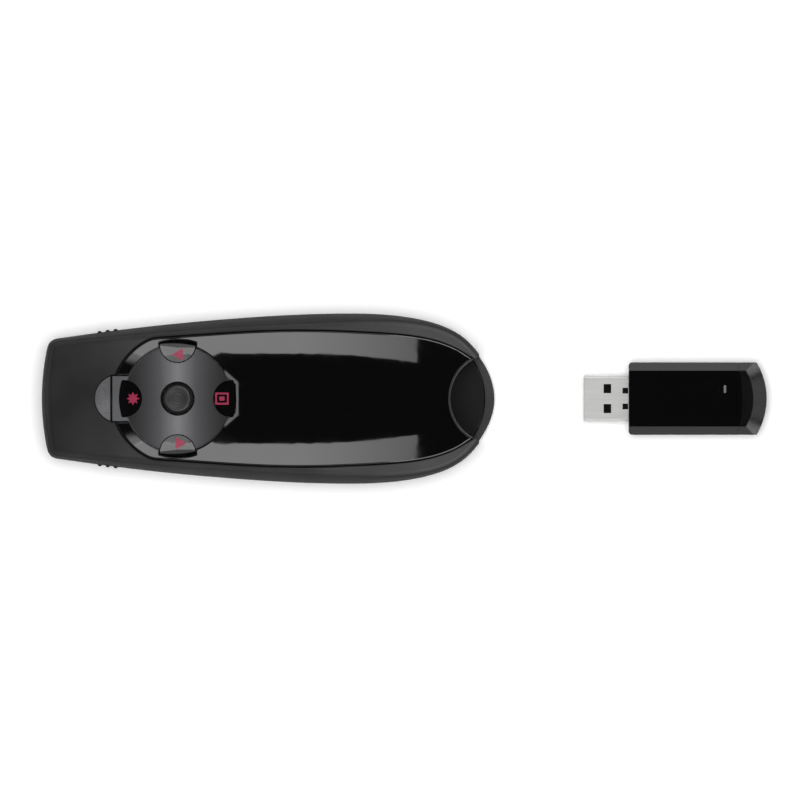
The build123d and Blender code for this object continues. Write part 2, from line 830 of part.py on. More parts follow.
def status_window():
    """Crescent lens let into the nose, level with the slot before the pad."""
    return prism(window_plan(0), window_seat_z + 0.02, above) & crown_form(window_recess)


def status_led():
    """Lamp on the board's front edge, under the crescent window."""
    x = lamp_place()
    lamp = block(x - 0.8, x + 0.8, -0.8, 0.8, board_top, board_top + 0.8)
    return lamp + Pos(x, 0, board_top + 0.8) * (Sphere(0.6) & block(-2, 2, -2, 2, 0, 2))


def laser_module():
    """Brass barrel with its lens hole, lying in two saddles."""
    front = nose_x + laser_from_nose
    barrel = rod_x(front, front + laser_length, 0, laser_z, laser_radius)
    barrel -= rod_x(front - 1, front + 2, 0, laser_z, laser_eye)
    barrel = chamfer(barrel.edges().filter_by(GeomType.CIRCLE).sort_by(Axis.X)[-1], 0.4)
    return barrel


def laser_window():
    """Clear disc in the nose, in front of the laser."""
    x = nose_x + window_disc_recess
    return rod_x(x, x + window_disc_thickness, 0, laser_z, window_disc_radius)


# ---------------------------------------------------------------- electronics


def main_board():
    """Circuit board on the battery bay's roof."""
    front = lamp_place() - 1.2
    rear = bay_end + bay_wall - 0.6
    board = block(front, rear, -board_half, board_half, board_z, board_top)
    return fillet(board.edges().filter_by(Axis.Z), board_corner)


def main_chips():
    """Controller, crystal can and radio module soldered near the board's rear end."""
    rear = bay_end + bay_wall - chips_from_rear
    chips = []
    for ahead, y, length, width, height in chip_sizes:
        x = rear - ahead
        chips.append(block(x - length, x, y - width / 2, y + width / 2, board_top, board_top + height))
    return chips


# ---------------------------------------------------------------- batteries


def cell(side):
    """AAA cell; the side gives its row, and the two rows point opposite ways."""
    nub_end = bay_end - contact_thickness - end_slack
    body = rod_x(nub_end - cell_length, nub_end - cell_nub_length, side * cell_y, cell_z, cell_radius)
    body = fillet(body.edges().filter_by(GeomType.CIRCLE), 0.6)
    nub = rod_x(nub_end - cell_nub_length - 0.5, nub_end, side * cell_y, cell_z, cell_nub_radius)
    whole = body + nub
    if side < 0:
        middle = (bay_x + bay_end) / 2
        whole = mirror(whole, about=Plane(origin=(middle, 0, 0), z_dir=(1, 0, 0)))
    return whole


def contact_plates():
    """Four sheet-metal contacts, two at each end of the bay."""
    plates = []
    low = cell_z + 0.8 - contact_height / 2
    for x in (bay_x, bay_end - contact_thickness):
        for side in (1, -1):
            y = side * cell_y
            plates.append(block(x, x + contact_thickness, y - contact_width / 2, y + contact_width / 2,
                                low, low + contact_height))
    return plates


def coil():
    """Conical contact spring that narrows towards the cell, standing on z = 0."""
    rise = spring_length - 2 * spring_wire - 2 * running_gap
    cone = degrees(asin((spring_large - spring_small) / sqrt(rise**2 + (spring_large - spring_small) ** 2)))
    path = Helix(rise / spring_turns, rise, spring_large, cone_angle=-cone)
    wire_face = Plane(origin=path @ 0, z_dir=path % 0) * Circle(spring_wire)
    return Pos(0, 0, spring_wire + running_gap) * sweep(wire_face, path, is_frenet=True)


def battery_springs():
    """One spring for each cell's flat end."""
    front = Pos(bay_x + contact_thickness, cell_y, cell_z) * Rot(0, 90, 0) * coil()
    rear = Pos(bay_end - contact_thickness, -cell_y, cell_z) * Rot(0, -90, 0) * coil()
    return [front, rear]


def battery_door():
    """Door under the cells: hinge barrel and pins at the nose end, latch at the other."""
    plate = block(hinge_x, door_end, -door_half, door_half, door_recess, door_top)
    plate = fillet(plate.edges().filter_by(Axis.Z).sort_by(Axis.X)[-2:], 1.0)
    plate += rod_y(hinge_x, -door_half, door_half, hinge_z, barrel_radius)
    pin_end = door_half + hinge_pin_length
    plate += rod_y(hinge_x, -pin_end, pin_end, hinge_z, hinge_pin_radius)
    latch_x = door_end - 1.4
    latch = block(latch_x - latch_thickness, latch_x, -latch_half, latch_half, door_top - 0.5,
                  door_top + latch_height)
    plate += latch
    for index in range(4):
        x = door_end - 5.0 - 1.6 * index
        plate -= block(x, x + 0.6, -5.0, 5.0, door_recess - 1, door_recess + 0.3)
    return plate


# ---------------------------------------------------------------- power switch


def power_switch():
    """Slide switch standing on the floor of the lower housing."""
    size_x, size_y, size_z = power_body
    body = block(-size_x / 2, size_x / 2, -size_y / 2, size_y / 2, floor_wall, floor_wall + size_z)
    slot_x = power_stem[0] + power_travel + 2 * power_clearance
    slot_y = power_stem[1] + 2 * power_clearance
    slot = block(-slot_x / 2, slot_x / 2, -slot_y / 2, slot_y / 2, 0, floor_wall + size_z - 1)
    return Pos(power_x, power_y, 0) * (body - slot)


def power_knob_piece():
    """Thumb slider of the power switch, level with the underside, at one end of its travel."""
    knob_x, knob_y = power_knob
    pocket = power_pocket[2]
    cap = block(-knob_x / 2, knob_x / 2, -knob_y / 2, knob_y / 2, 0.15, pocket - 0.05)
    for x in (-1.2, 0, 1.2):
        cap -= rod_y(x, -knob_y, knob_y, 0.05, 0.3)
    stem_x, stem_y = power_stem
    stem_top = floor_wall + power_body[2] - 1.3
    stem = block(-stem_x / 2, stem_x / 2, -stem_y / 2, stem_y / 2, pocket - 0.3, stem_top)
    return Pos(power_x - power_travel / 2, power_y, 0) * (cap + stem)


def case_screws():
    """Four screws that hold the housings together from below."""
    screws = []
    for x, y in screw_spots():
        head = post(x, y, screw_seat_z - screw_head_height, screw_seat_z, screw_head_radius)
        shank = post(x, y, screw_seat_z - 0.2, screw_seat_z + screw_length, screw_radius)
        drive = Box(2.2, 0.5, 1.2) + Box(0.5, 2.2, 1.2)
        screws.append(head + shank - Pos(x, y, screw_seat_z - screw_head_height) * drive)
    return screws


# ---------------------------------------------------------------- receiver


def receiver_section(inset, z0, z1):
    """Bevelled cross-section of the receiver between two heights, in Y and Z."""
    half = receiver_width / 2 - inset
    top = receiver_height - inset
    top_y, top_z = top_bevel
    low_y, low_z = bottom_bevel
    points = ((-half + low_y, inset), (half - low_y, inset), (half, inset + low_z), (half, top - top_z),
              (half - top_y, top), (-half + top_y, top), (-half, top - top_z), (-half, inset + low_z))
    section = Plane(origin=(0, 0, 0), x_dir=(0, 1, 0), z_dir=(1, 0, 0))
    window = Pos(0, (z0 + z1) / 2) * Rectangle(2 * receiver_width, z1 - z0)
    return section * (make_face(Polyline(*points, close=True)) & window)


def receiver_bar(inset, z0, z1, x0, x1):
    """Length of the receiver's cross-section between two places from the plug's tip."""
    return Pos(x0, 0, 0) * extrude(receiver_section(inset, z0, z1), amount=x1 - x0, dir=(1, 0, 0))


def plug_box(grow, x0, x1):
    """Outside of the metal plug, grown, between two places from its tip."""
    middle = receiver_height / 2
    half_y = plug_width / 2 + grow
    half_z = plug_height / 2 + grow
    return block(x0, x1, -half_y, half_y, middle - half_z, middle + half_z)


def seam(margin):
    """Room before the arc on which the casing meets its cap, moved back by a margin."""
    end = plug_length + shell_length - margin
    arc = post(end - cap_seam_radius, 0, -1, receiver_height + 1, cap_seam_radius)
    return arc & block(0, end, -receiver_width, receiver_width, -1, receiver_height + 1)


def receiver_shell(z0, z1):
    """One half of the receiver's hollow casing."""
    start = plug_length
    end = plug_length + shell_length
    half = receiver_bar(0, z0, z1, start, end) & seam(0)
    length = 2 * shell_length
    plan = fillet((Pos(start + length / 2, 0) * Rectangle(length, receiver_width)).vertices(), shell_corner)
    half &= prism(plan, 0, receiver_height)
    half -= receiver_bar(shell_wall, 0, receiver_height, start + shell_wall, end + 1)
    return half - plug_box(running_gap, 0, start + plug_root)


def led_plan(margin):
    """Light slit near the cap."""
    slit_x, slit_y = led_slit
    return Pos(led_from_tip, led_y) * Rectangle(slit_x + 2 * margin, slit_y + 2 * margin)


def receiver_top_shell():
    """Glossy upper half, with a slit for the light and a scoop for the fingertip."""
    middle = receiver_height / 2
    half = receiver_shell(middle, receiver_height)
    half -= prism(led_plan(running_gap), middle, receiver_height + 1)
    end = scoop_from_tip
    scoop = side_profile(((end - scoop_length, receiver_height), (end, receiver_height - scoop_depth),
                          (end, receiver_height + 1), (end - scoop_length, receiver_height + 1)),
                         -scoop_half, scoop_half)
    half -= scoop
    rim = [edge for edge in half.edges().filter_by(Axis.Y)
           if abs((edge @ 0.5).X - end) < 0.01 and abs((edge @ 0.5).Z - receiver_height) < 0.01]
    return chamfer(rim, scoop_rim)


def receiver_cap():
    """Matte end cap: round end with a bevel along its top edge, and a spigot."""
    start = plug_length + shell_length - cap_seam_radius * 0.1
    end = receiver_length
    bar = receiver_bar(0, 0, receiver_height, start, end) - seam(-part_gap)
    middle = end - cap_end_radius
    reach, drop = cap_bevel
    low = receiver_height - drop
    round_end = post(middle, 0, -1, low, cap_end_radius)
    round_end += Pos(middle, 0, low + drop / 2) * Cone(cap_end_radius, cap_end_radius - reach, drop)
    bar &= round_end
    root = plug_length + shell_length
    spigot = receiver_bar(shell_wall + part_gap, 0, receiver_height, root - cap_spigot, root + 0.5)
    spigot -= receiver_bar(2 * shell_wall, 0, receiver_height, root - 5, root)
    return bar + spigot


def plug_openings():
    """Square windows and half windows through the plug's two wide sides."""
    openings = []
    for x, y, size in ((plug_window_from_tip, plug_window_y, plug_window),
                       (plug_notch_from_tip, plug_notch_y, plug_notch)):
        for side in (1, -1):
            openings.append(Pos(x, side * y, receiver_height / 2) * Box(size[0], size[1], 2 * plug_height))
    return openings


def usb_shell():
    """Folded metal shell of the plug, with its windows."""
    shell = plug_box(0, 0, plug_length + plug_root)
    shell = fillet(shell.edges().filter_by(Axis.X), plug_corner)
    shell -= plug_box(-plug_sheet, -1, plug_length + plug_root - plug_sheet)
    for opening in plug_openings():
        shell -= opening
    return shell


def tongue_face():
    """Height of the contact face of the plug's plastic tongue, which hangs from the upper wall."""
    return receiver_height / 2 + plug_height / 2 - plug_sheet - tongue_thickness


def usb_tongue():
    """Plastic tongue under the upper wall of the plug, with its root block."""
    half = plug_width / 2 - plug_sheet - seat_gap
    top = tongue_face() + tongue_thickness - seat_gap
    tongue = block(tongue_from_tip, plug_length, -half, half, tongue_face(), top)
    low = receiver_height / 2 - plug_height / 2 + plug_sheet + seat_gap
    root_end = plug_length + plug_root - plug_sheet - seat_gap
    return tongue + block(plug_length - 0.5, root_end, -half, half, low, top)


def usb_contacts():
    """Four gold contact strips on the tongue."""
    length, width, thickness = contact_pad
    strips = []
    for index in range(4):
        y = (index - 1.5) * contact_pitch
        strips.append(block(contacts_from_tip, contacts_from_tip + length, y - width / 2, y + width / 2,
                            tongue_face() - thickness, tongue_face()))
    return strips


def receiver_board():
    """Small circuit board behind the plug."""
    low = receiver_height / 2 - receiver_board_thickness / 2
    half = receiver_width / 2 - shell_wall - 1.2
    start = plug_length + plug_root + running_gap
    end = plug_length + shell_length - cap_spigot - part_gap
    return block(start, end, -half, half, low, low + receiver_board_thickness)


def receiver_chip():
    """Radio chip on the receiver's board."""
    low = receiver_height / 2 + receiver_board_thickness / 2
    x = plug_length + plug_root + 6
    return block(x, x + 6, -3, 3, low, low + 0.9)


def receiver_led():
    """Light guide that stands on the board and fills the slit."""
    low = receiver_height / 2 + receiver_board_thickness / 2
    return prism(led_plan(0), low, receiver_height - 0.05)


# ---------------------------------------------------------------- output


def save(name, pieces):
    """Writes one node as STEP."""
    solids = pieces if isinstance(pieces, list) else [pieces]
    flat = [solid for piece in solids for solid in piece.solids()]
    export_step(Compound(children=flat) if len(flat) > 1 else flat[0], f"parts/{name}.step")


def main():
    os.makedirs("parts", exist_ok=True)
    outer = outer_form()
    save("lower_housing", lower_housing(outer))
    save("upper_housing", upper_housing(outer))
    save("top_cover", top_cover(outer))
    save("receiver_dock", receiver_dock())
    save("keypad_frame", keypad_frame())
    save("keypad_plate", keypad_plate())
    for name, angle in (("blank", 0), ("back", 90), ("laser", 180), ("forward", 270)):
        save(f"key_{name}", key_at(angle))
        save(f"tact_switch_{name}", switch_at(angle))
        save(f"switch_plunger_{name}", plunger_at(angle))
    save("joystick_base", joystick_base())
    save("gimbal_ring", gimbal_ring())
    save("joystick_stem", joystick_stem())
    save("joystick_cap", joystick_cap())
    save("status_window", status_window())
    save("status_led", status_led())
    save("laser_module", laser_module())
    save("laser_window", laser_window())
    save("main_board", main_board())
    save("main_chips", main_chips())
    save("battery_1", cell(1))
    save("battery_2", cell(-1))
    save("contact_plates", contact_plates())
    save("battery_springs", battery_springs())
    save("battery_door", battery_door())
    save("power_switch", power_switch())
    save("power_knob", power_knob_piece())
    save("case_screws", case_screws())
    middle = receiver_height / 2
    receiver = {
        "receiver_top_shell": receiver_top_shell(),
        "receiver_bottom_shell": receiver_shell(0, middle),
        "receiver_cap": receiver_cap(),
        "usb_shell": usb_shell(),
        "usb_tongue": usb_tongue(),
        "usb_contacts": usb_contacts(),
        "receiver_board": receiver_board(),
        "receiver_chip": receiver_chip(),
        "receiver_led": receiver_led(),
    }
    for name, pieces in receiver.items():
        parts = pieces if isinstance(pieces, list) else [pieces]
        save(name, [Pos(receiver_x, 0, 0) * piece for piece in parts])
    slope = atan2(dock_rise, dock_travel_x)
    print("receiver slide: angle", round(degrees(slope), 4), "travel", round(dock_travel_x / cos(slope), 4))
    print("slide axis", round(-cos(slope), 6), 0, round(sin(slope), 6))
    print("door hinge at", round(hinge_x, 3), round(hinge_z, 3), "pad centre", pad_x)


main()
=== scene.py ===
from math import cos, pi, radians, sin

import bmesh
import bpy
from mathutils import Matrix, Vector
from mathutils.bvhtree import BVHTree


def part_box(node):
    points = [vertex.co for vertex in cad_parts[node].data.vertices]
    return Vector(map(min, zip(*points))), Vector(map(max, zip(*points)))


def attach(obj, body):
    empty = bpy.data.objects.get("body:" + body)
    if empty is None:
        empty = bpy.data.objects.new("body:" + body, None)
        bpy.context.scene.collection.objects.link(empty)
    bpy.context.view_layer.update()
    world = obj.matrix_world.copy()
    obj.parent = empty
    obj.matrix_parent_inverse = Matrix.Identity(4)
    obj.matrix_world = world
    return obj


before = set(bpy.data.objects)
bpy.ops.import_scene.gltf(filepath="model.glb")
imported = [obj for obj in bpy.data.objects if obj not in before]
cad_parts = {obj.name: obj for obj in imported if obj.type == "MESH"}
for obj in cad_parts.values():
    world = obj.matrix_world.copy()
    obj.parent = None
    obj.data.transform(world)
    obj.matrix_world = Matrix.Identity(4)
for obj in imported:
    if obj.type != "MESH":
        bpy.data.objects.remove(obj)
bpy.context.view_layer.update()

# ---------------------------------------------------------------- lower housing
# The bottom shell is injection-moulded ABS with a spark-eroded, matt grain.
# Its bay, bosses and hinge block are part of the same moulding.
# Four screws from below hold it to the upper housing.

# Blender's noise mostly stays within this span.
noise_span = {"From Min": 0.3, "From Max": 0.7}

# Moulded plastic is a little paler or darker in patches about a centimetre across.
patches_per_metre = 90.0
patch_span = {"From Min": 0.35, "From Max": 0.65}
grain_sway = 0.05
plastic_ior = 1.49
mm_per_metre = 1000

# How far up a side faces: full overspray at the first value, none from the second.
steep_span = {"From Min": 0.55, "From Max": 0.85}


def linear(colour):
    """sRGB hex colour as the linear colour that a shader takes."""
    shares = [int(colour[place:place + 2], 16) / 255 for place in (1, 3, 5)]
    return [v / 12.92 if v <= 0.04045 else ((v + 0.055) / 1.055) ** 2.4 for v in shares] + [1.0]


def add(tree, kind, inputs=None, **settings):
    """Adds a node; each input gets a value or is linked to another node's output."""
    node = tree.nodes.new(kind)
    for name, value in settings.items():
        setattr(node, name, value)
    for name, value in (inputs or {}).items():
        if isinstance(value, bpy.types.NodeSocket):
            tree.links.new(value, node.inputs[name])
        else:
            node.inputs[name].default_value = value
    return node


def material(name):
    """An empty node material, and its tree with the place on the object."""
    new = bpy.data.materials.new(name)
    new.use_nodes = True
    new.node_tree.nodes.clear()
    tree = new.node_tree
    return new, tree, add(tree, "ShaderNodeTexCoord").outputs["Object"]


def surface(tree, inputs):
    """Puts a principled shader with these inputs on the material's output."""
    shader = add(tree, "ShaderNodeBsdfPrincipled", inputs)
    add(tree, "ShaderNodeOutputMaterial", {"Surface": shader.outputs["BSDF"]})


def tinted(tree, colour, strength):
    """A colour, as hex or from a node, times a strength that varies over the surface."""
    mix = add(tree, "ShaderNodeMix", {"Factor": 1.0}, data_type="RGBA", blend_type="MULTIPLY")
    if isinstance(colour, str):
        mix.inputs["A"].default_value = linear(colour)
    else:
        tree.links.new(colour, mix.inputs["A"])
    tree.links.new(strength, mix.inputs["B"])
    return mix.outputs["Result"]


def paint(new, *nodes):
    """Gives CAD nodes a material in all their slots."""
    for node in nodes:
        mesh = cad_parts[node].data
        mesh.materials.clear()
        mesh.materials.append(new)


def moulded(name, colour, roughness, grain, depth, drift=0.25, shine=0.5, overspray=0.0):
    """Moulded plastic with a grain of a size and depth in mm, and patches that drift in tone.

    Overspray is the roughness that a sprayed lacquer gains on steep sides.
    """
    new, tree, place = material(name)
    patches = add(tree, "ShaderNodeTexNoise", {"Vector": place, "Scale": patches_per_metre,
                                               "Detail": 3.0})
    fine = add(tree, "ShaderNodeTexNoise", {"Vector": place, "Scale": mm_per_metre / grain,
                                            "Detail": 2.0})
    tone = add(tree, "ShaderNodeMapRange", {"Value": patches.outputs["Fac"], **patch_span,
                                            "To Min": 1 - drift, "To Max": 1 + drift})
    dull = add(tree, "ShaderNodeMapRange", {"Value": fine.outputs["Fac"], **noise_span,
                                            "To Min": roughness - grain_sway,
                                            "To Max": roughness + grain_sway})
    rough = dull.outputs["Result"]
    if overspray:
        facing = add(tree, "ShaderNodeTexCoord").outputs["Normal"]
        level = add(tree, "ShaderNodeSeparateXYZ", {"Vector": facing}).outputs["Z"]
        slant = add(tree, "ShaderNodeMapRange", {"Value": level, **steep_span,
                                                 "To Min": overspray, "To Max": 0.0})
        both = add(tree, "ShaderNodeMath", {0: rough, 1: slant.outputs["Result"]}, operation="ADD",
                   use_clamp=True)
        rough = both.outputs["Value"]
    bump = add(tree, "ShaderNodeBump", {"Height": fine.outputs["Fac"], "Strength": 0.6,
                                        "Distance": depth / mm_per_metre})
    surface(tree, {"Base Color": tinted(tree, colour, tone.outputs["Result"]), "Roughness": rough,
                   "Normal": bump.outputs["Normal"], "IOR": plastic_ior,
                   "Specular IOR Level": shine})
    return new


# Matt black ABS: the grain breaks up every highlight into a dull grey sheen.
# The real grain is 0.15 mm; it is drawn at 0.4 mm so that it shows.
matt_abs = moulded("black ABS, spark-eroded", "#2b2b2c", roughness=0.52, grain=0.4, depth=0.012)
paint(matt_abs, "lower_housing", "battery_door")

# ---------------------------------------------------------------- battery bay
# Two AAA cells lie side by side, with sheet contacts and coil springs at their ends.
# The springs are nickel-plated wire and the contacts are nickel-plated bronze.

# Nickel plating: warm and bright, under a faint haze in spots 0.7 mm across.
haze_per_metre = 1500.0
nickel, tree, place = material("nickel-plated spring steel")
haze = add(tree, "ShaderNodeTexNoise", {"Vector": place, "Scale": haze_per_metre, "Detail": 3.0})
dull = add(tree, "ShaderNodeMapRange", {"Value": haze.outputs["Fac"], **noise_span,
                                        "To Min": 0.18, "To Max": 0.34})
surface(tree, {"Base Color": linear("#c9c4b8"), "Metallic": 1.0,
               "Roughness": dull.outputs["Result"]})
paint(nickel, "contact_plates", "battery_springs")

# Cell jackets: dark grey printed foil, smooth with small dents. The foil stops short of each
# cell's positive end, which is bare steel; the two cells lie head to tail.
bare_end = 0.00255
cells_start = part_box("battery_2")[0].x
cells_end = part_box("battery_1")[1].x
jacket_middle = (cells_start + cells_end) / 2
jacket_half = (cells_end - cells_start) / 2 - bare_end
dents_per_metre = 400.0
dent_depth = 0.00005
jacket, tree, place = material("printed cell jacket")
axes = add(tree, "ShaderNodeSeparateXYZ", {"Vector": place})
offset = add(tree, "ShaderNodeMath", {0: axes.outputs["X"], 1: jacket_middle},
             operation="SUBTRACT")
far = add(tree, "ShaderNodeMath", {0: offset.outputs["Value"]}, operation="ABSOLUTE")
end = add(tree, "ShaderNodeMath", {0: far.outputs["Value"], 1: jacket_half},
          operation="GREATER_THAN")
dents = add(tree, "ShaderNodeTexNoise", {"Vector": place, "Scale": dents_per_metre, "Detail": 2.0})
tone = add(tree, "ShaderNodeMix", {"Factor": end.outputs["Value"]}, data_type="RGBA")
tone.inputs["A"].default_value = linear("#3a3d42")
tone.inputs["B"].default_value = linear("#b9b3a8")
wrap = add(tree, "ShaderNodeBump", {"Height": dents.outputs["Fac"], "Strength": 0.3,
                                    "Distance": dent_depth})
surface(tree, {"Base Color": tone.outputs["Result"], "Metallic": 0.6, "Roughness": 0.3,
               "Normal": wrap.outputs["Normal"]})
paint(jacket, "battery_1", "battery_2")

# ---------------------------------------------------------------- circuit board
# The board is glass-fibre laminate under a dark green solder mask, on the bay's roof.
# Chips are black epoxy; the switches have stamped steel lids.

# Solder mask: a thin, shiny green lacquer, through which the glass cloth just shows.
# The threads lie 0.6 mm apart.
weave_scale = 400.0
mask, tree, place = material("dark green solder mask")
weave = add(tree, "ShaderNodeTexBrick", {"Vector": place, "Scale": weave_scale,
                                         "Mortar Size": 0.04})
weave.inputs["Color1"].default_value = linear("#0b2214")
weave.inputs["Color2"].default_value = linear("#0d2717")
weave.inputs["Mortar"].default_value = linear("#16351f")
surface(tree, {"Base Color": weave.outputs["Color"], "Roughness": 0.3, "Coat Weight": 0.5})
paint(mask, "main_board", "receiver_board")

# Moulding compound of the chips: dull black with a fine sandy grain.
epoxy = moulded("black epoxy compound", "#1c1c1d", roughness=0.6, grain=0.3, depth=0.01)
paint(epoxy, "main_chips", "receiver_chip")

# Stamped steel of the switch lids and of the stick: bright, with a grain drawn out along X.
# The real lines are finer; they are drawn a third of a millimetre apart so that they show.
steel_grain = (200.0, 3000.0, 3000.0)
steel, tree, place = material("stamped steel")
stretch = add(tree, "ShaderNodeMapping", {"Vector": place, "Scale": steel_grain})
drawn = add(tree, "ShaderNodeTexNoise", {"Vector": stretch.outputs["Vector"], "Scale": 1.0,
                                         "Detail": 3.0})
dull = add(tree, "ShaderNodeMapRange", {"Value": drawn.outputs["Fac"], **noise_span,
                                        "To Min": 0.25, "To Max": 0.42})
surface(tree, {"Base Color": linear("#bcbcba"), "Metallic": 1.0,
               "Roughness": dull.outputs["Result"]})
key_names = ("blank", "back", "laser", "forward")
paint(steel, "power_switch", "joystick_stem", *["tact_switch_" + key for key in key_names])

# Acetal of the small moving parts: black, smooth and slightly waxy.
acetal = moulded("black acetal", "#202021", roughness=0.38, grain=0.6, depth=0.004)
paint(acetal, "joystick_base", "gimbal_ring", *["switch_plunger_" + key for key in key_names])

# ---------------------------------------------------------------- laser pointer
# A turned brass barrel lies in two saddles behind a clear acrylic disc in the nose.
# The disc is pressed into its seat from outside.

# Turned brass: yellow and shiny, with fine rings round the barrel, a third of a millimetre apart.
ring_scale = 900.0
ring_depth = 0.00002
brass, tree, place = material("turned brass")
rings = add(tree, "ShaderNodeTexWave", {"Vector": place, "Scale": ring_scale, "Distortion": 0.6},
            bands_direction="X")
turned = add(tree, "ShaderNodeBump", {"Height": rings.outputs["Fac"], "Strength": 0.3,
                                      "Distance": ring_depth})
surface(tree, {"Base Color": linear("#c9a45c"), "Metallic": 1.0, "Roughness": 0.28,
               "Normal": turned.outputs["Normal"]})
paint(brass, "laser_module")

# Clear acrylic: polished and nearly colourless, with faint marks from wiping.
wipes_per_metre = 300.0
acrylic, tree, place = material("clear acrylic")
faint = add(tree, "ShaderNodeTexNoise", {"Vector": place, "Scale": wipes_per_metre})
dull = add(tree, "ShaderNodeMapRange", {"Value": faint.outputs["Fac"],
                                        "To Min": 0.01, "To Max": 0.06})
surface(tree, {"Base Color": linear("#f2f2f4"), "Transmission Weight": 1.0, "IOR": plastic_ior,
               "Roughness": dull.outputs["Result"]})
paint(acrylic, "laser_window")

# ---------------------------------------------------------------- upper housing
# Nose and side bands are one ABS moulding with a sprayed soft-touch lacquer.
# It carries the cover, the pad and the dock, and closes the case from above.

# Soft-touch lacquer: dull black that greys down the flanks.
# There the spray lands at a slant, which leaves it rougher.
soft_touch = moulded("soft-touch lacquer on ABS", "#202021", roughness=0.45, grain=0.45,
                     depth=0.010, shine=0.4, overspray=0.5)
paint(soft_touch, "upper_housing")

# ---------------------------------------------------------------- receiver dock
# The sleeve is a separate black ABS moulding, clamped between the two housings.
# It is finer in grain than the outside, since the receiver slides on it.
sleeve_abs = moulded("black ABS, fine grain", "#0d0d0e", roughness=0.42, grain=0.3, depth=0.006,
                     shine=0.3)
paint(sleeve_abs, "receiver_dock", "power_knob")

# ---------------------------------------------------------------- glossy cover
# The cover is black ABS from a mirror-polished mould, snapped in from above.
# The keys and the receiver's shells are polished in the same way.

# Mirror-polished ABS: deep black that mirrors the lamps sharply.
# It waves a little over each centimetre, and hands leave faint dull patches on it.
waves_per_metre = 110.0
wave_depth = 0.000015
smears_per_metre = 60.0
piano_black, tree, place = material("black ABS, mirror-polished")
peel = add(tree, "ShaderNodeTexNoise", {"Vector": place, "Scale": waves_per_metre, "Detail": 1.0})
wave = add(tree, "ShaderNodeBump", {"Height": peel.outputs["Fac"], "Strength": 0.1,
                                    "Distance": wave_depth})
handled = add(tree, "ShaderNodeTexNoise", {"Vector": place, "Scale": smears_per_metre,
                                           "Detail": 6.0, "Roughness": 0.7})
dull = add(tree, "ShaderNodeMapRange", {"Value": handled.outputs["Fac"],
                                        "From Min": 0.4, "From Max": 0.75,
                                        "To Min": 0.04, "To Max": 0.1})
surface(tree, {"Base Color": linear("#070708"), "Roughness": dull.outputs["Result"], "IOR": 1.5,
               "Normal": wave.outputs["Normal"]})
paint(piano_black, "top_cover", "receiver_top_shell", "receiver_bottom_shell",
      *["key_" + key for key in key_names])

# ---------------------------------------------------------------- pad
# The round pad is an ABS disc with a sprayed satin lacquer full of fine metal flake.
# It is glued to a grey carrier, which shows in the slots round it.

# Satin lacquer with a painted sheen: a band of painted highlight along the middle, darker towards
# both sides.
# Real flake is 0.05 mm across; it is drawn at 0.25 mm so that it shows, as paler and darker cells:
# the flake's own tone with a painted glint.
pad_low, pad_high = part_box("keypad_plate")
pad_middle = (pad_low[0] + pad_high[0]) / 2
pad_reach = (pad_high[0] - pad_low[0]) / 2
flake_per_metre = 4000.0
satin, tree, place = material("satin lacquer with painted sheen")
across = add(tree, "ShaderNodeSeparateXYZ", {"Vector": place}).outputs["X"]
offset = add(tree, "ShaderNodeMath", {0: across, 1: pad_middle}, operation="SUBTRACT")
aside = add(tree, "ShaderNodeMath", {0: offset.outputs["Value"]}, operation="ABSOLUTE")
share = add(tree, "ShaderNodeMath", {0: aside.outputs["Value"], 1: pad_reach}, operation="DIVIDE")
# The ramp paints the sheen into the colour: palest along the middle line, darkest at the rim.
painted_sheen = add(tree, "ShaderNodeValToRGB", {"Fac": share.outputs["Value"]})
painted_sheen.color_ramp.interpolation = "B_SPLINE"
painted_sheen.color_ramp.elements[0].color = linear("#747476")
painted_sheen.color_ramp.elements[1].color = linear("#1c1c1d")
for stop, colour in ((0.12, "#6b6b6d"), (0.35, "#48484a"), (0.7, "#2e2e2f")):
    painted_sheen.color_ramp.elements.new(stop).color = linear(colour)
# The flake cells tint the colour: the flake's tone with a painted glint on it.
flake = add(tree, "ShaderNodeTexVoronoi", {"Vector": place, "Scale": flake_per_metre})
painted_flake_glint = add(tree, "ShaderNodeMapRange", {"Value": flake.outputs["Distance"],
                                         "To Min": 0.9, "To Max": 1.15})
surface(tree, {"Base Color": tinted(tree, painted_sheen.outputs["Color"], painted_flake_glint.outputs["Result"]),
               "Roughness": 0.5, "IOR": 1.5, "Specular IOR Level": 0.2})
paint(satin, "keypad_plate")

# Grey ABS of the carrier: an even, satin grey; its tongue shows before the disc.
grey_abs = moulded("grey ABS, satin", "#545456", roughness=0.4, grain=0.5, depth=0.006, drift=0.1)
paint(grey_abs, "keypad_frame")

# ---------------------------------------------------------------- key icons
# Each key has a pad-printed icon: arrows for back and forward, a burst for the laser and a screen
# for blank. The ink is a crimson two-part enamel, a few hundredths of a millimetre thick.

# Pad-printing ink: deep crimson with a soft gloss, a little uneven.
# Its real specks are a tenth of a millimetre across; they are drawn at 0.4 mm so that they show.
specks_per_metre = 2500.0
ink, tree, place = material("crimson pad-printing ink")
speck = add(tree, "ShaderNodeTexNoise", {"Vector": place, "Scale": specks_per_metre,
                                         "Detail": 2.0})
cover = add(tree, "ShaderNodeMapRange", {"Value": speck.outputs["Fac"], **noise_span,
                                         "To Min": 0.85, "To Max": 1.1})
surface(tree, {"Base Color": tinted(tree, "#8c173d", cover.outputs["Result"]), "Roughness": 0.35,
               "IOR": 1.5})

# The ink's thickness, how proud of the key it stands, and a height above the whole clicker.
film = 0.00006
film_proud = 0.00002
above_all = 0.05

arrow_radius = 0.0019
burst_rays = 8
burst_radius = 0.0018
burst_waist = 0.55
screen_rim = ((0.0036, 0.0032), (0.0026, 0.0022))
screen_panel = (0.0014, 0.0011)
icon_corner = 0.0002
icon_reach = 0.0117
back_reach = 0.0116


def round_corners(icon, corners):
    """Rounds flat corners of an icon."""
    bmesh.ops.bevel(icon, geom=corners, offset=icon_corner, affect="VERTICES", segments=2,
                    profile=0.5, material=-1)


